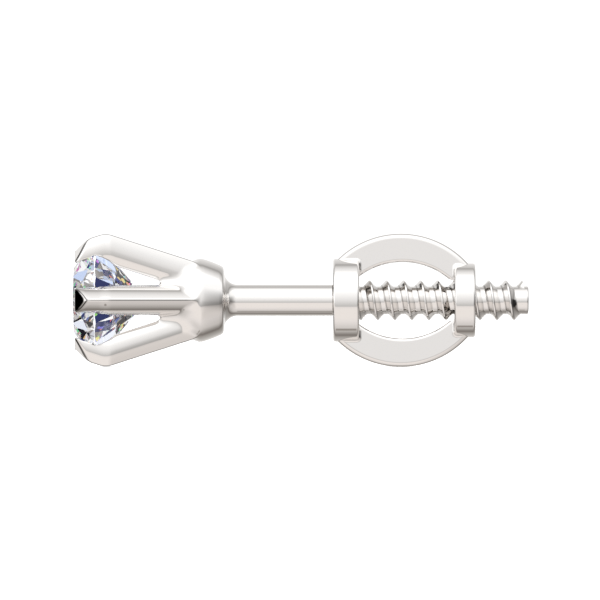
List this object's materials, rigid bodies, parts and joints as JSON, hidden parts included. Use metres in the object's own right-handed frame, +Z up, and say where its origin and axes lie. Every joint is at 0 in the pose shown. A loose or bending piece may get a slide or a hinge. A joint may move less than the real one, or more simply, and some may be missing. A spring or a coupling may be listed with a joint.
{
  "type": "screw-back stud earring",
  "caption": "Stud earring: a round brilliant stone in a claw setting on a cup, with a threaded post and a winged screw back.",
  "frame": {"origin": "on the surface that the earring lies on, under the middle of its box", "axes": "+X along the post, from the stone's table to the post's end; +Z up, away from the surface it lies on; the wings of the nut stand in the XZ plane"},
  "size_m": [0.0146, 0.005, 0.0043],
  "materials": {
    "white_gold": "polished white gold",
    "stone": "clear cut stone, polished facets",
    "nut_white_gold": "polished white gold"
  },
  "bodies": {
    "stud": {"setting_post": "white_gold", "stone": "stone"},
    "nut": {"screw_nut": "nut_white_gold"}
  },
  "joints": [
    {"name": "nut_travel", "type": "slide", "parent": "stud", "child": "nut", "axis": [1, 0, 0], "range_m": [0, 0.01]}
  ]
}
